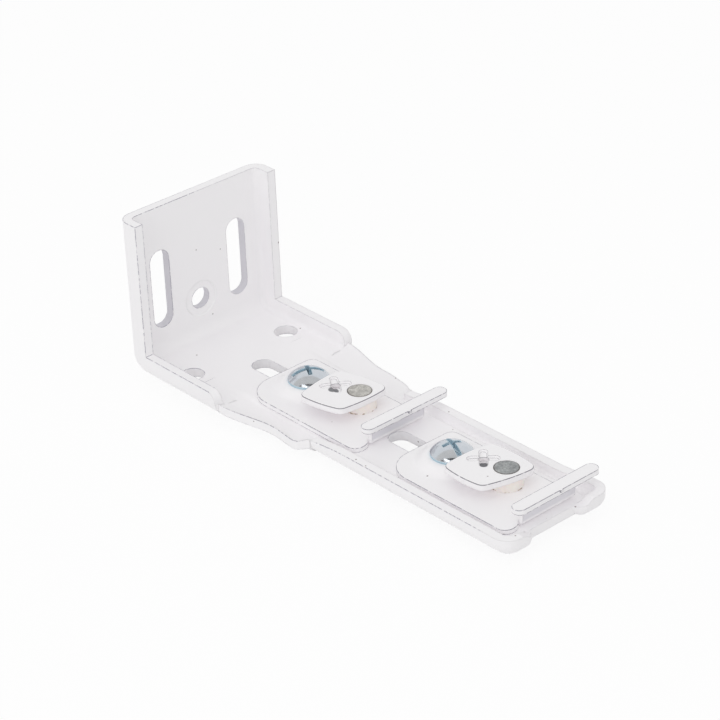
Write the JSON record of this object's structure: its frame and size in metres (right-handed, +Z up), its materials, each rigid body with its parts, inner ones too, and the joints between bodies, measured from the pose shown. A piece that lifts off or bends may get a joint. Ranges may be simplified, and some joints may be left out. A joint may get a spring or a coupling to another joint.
{
  "type": "double curtain track bracket",
  "caption": "Pressed steel wall bracket with a long flat arm that carries two curtain track clips, each with a cross bar and a turning lock lever.",
  "frame": {"origin": "centre of the round hole in the wall plate, on the plate's back face", "axes": "+Z up along the wall plate, +Y into the wall, the arm runs towards -Y, +X to the right when facing the wall"},
  "size_m": [0.045, 0.1294, 0.0454],
  "materials": {
    "white_coat": "semi-gloss powder coat",
    "plain_steel": "satin",
    "zinc_plate": "bright blue zinc plate",
    "cream_nylon": "smooth nylon"
  },
  "bodies": {
    "bracket": {"bracket": "white_coat"},
    "rear_clip": {"rear_clip": "white_coat", "rear_rivet": "plain_steel", "rear_spacer": "cream_nylon", "rear_screw": "zinc_plate", "rear_nut": "zinc_plate"},
    "rear_lever": {"rear_lever": "white_coat"},
    "front_clip": {"front_clip": "white_coat", "front_rivet": "plain_steel", "front_spacer": "cream_nylon", "front_screw": "zinc_plate", "front_nut": "zinc_plate"},
    "front_lever": {"front_lever": "white_coat"}
  },
  "joints": [
    {"name": "rear_clip_slide", "type": "slide", "parent": "bracket", "child": "rear_clip", "axis": [0, 1, 0], "range_m": [-0.0005, 0.017]},
    {"name": "rear_lever_turn", "type": "hinge", "parent": "rear_clip", "child": "rear_lever", "pos_m": [0.0019, -0.06015, -0.0055], "axis": [0, 0, 1], "range_deg": [-19, 79]},
    {"name": "front_clip_slide", "type": "slide", "parent": "bracket", "child": "front_clip", "axis": [0, 1, 0], "range_m": [-0.0003, 0.0075]},
    {"name": "front_lever_turn", "type": "hinge", "parent": "front_clip", "child": "front_lever", "pos_m": [0.0019, -0.11055, -0.0055], "axis": [0, 0, 1], "range_deg": [-8, 90]}
  ]
}
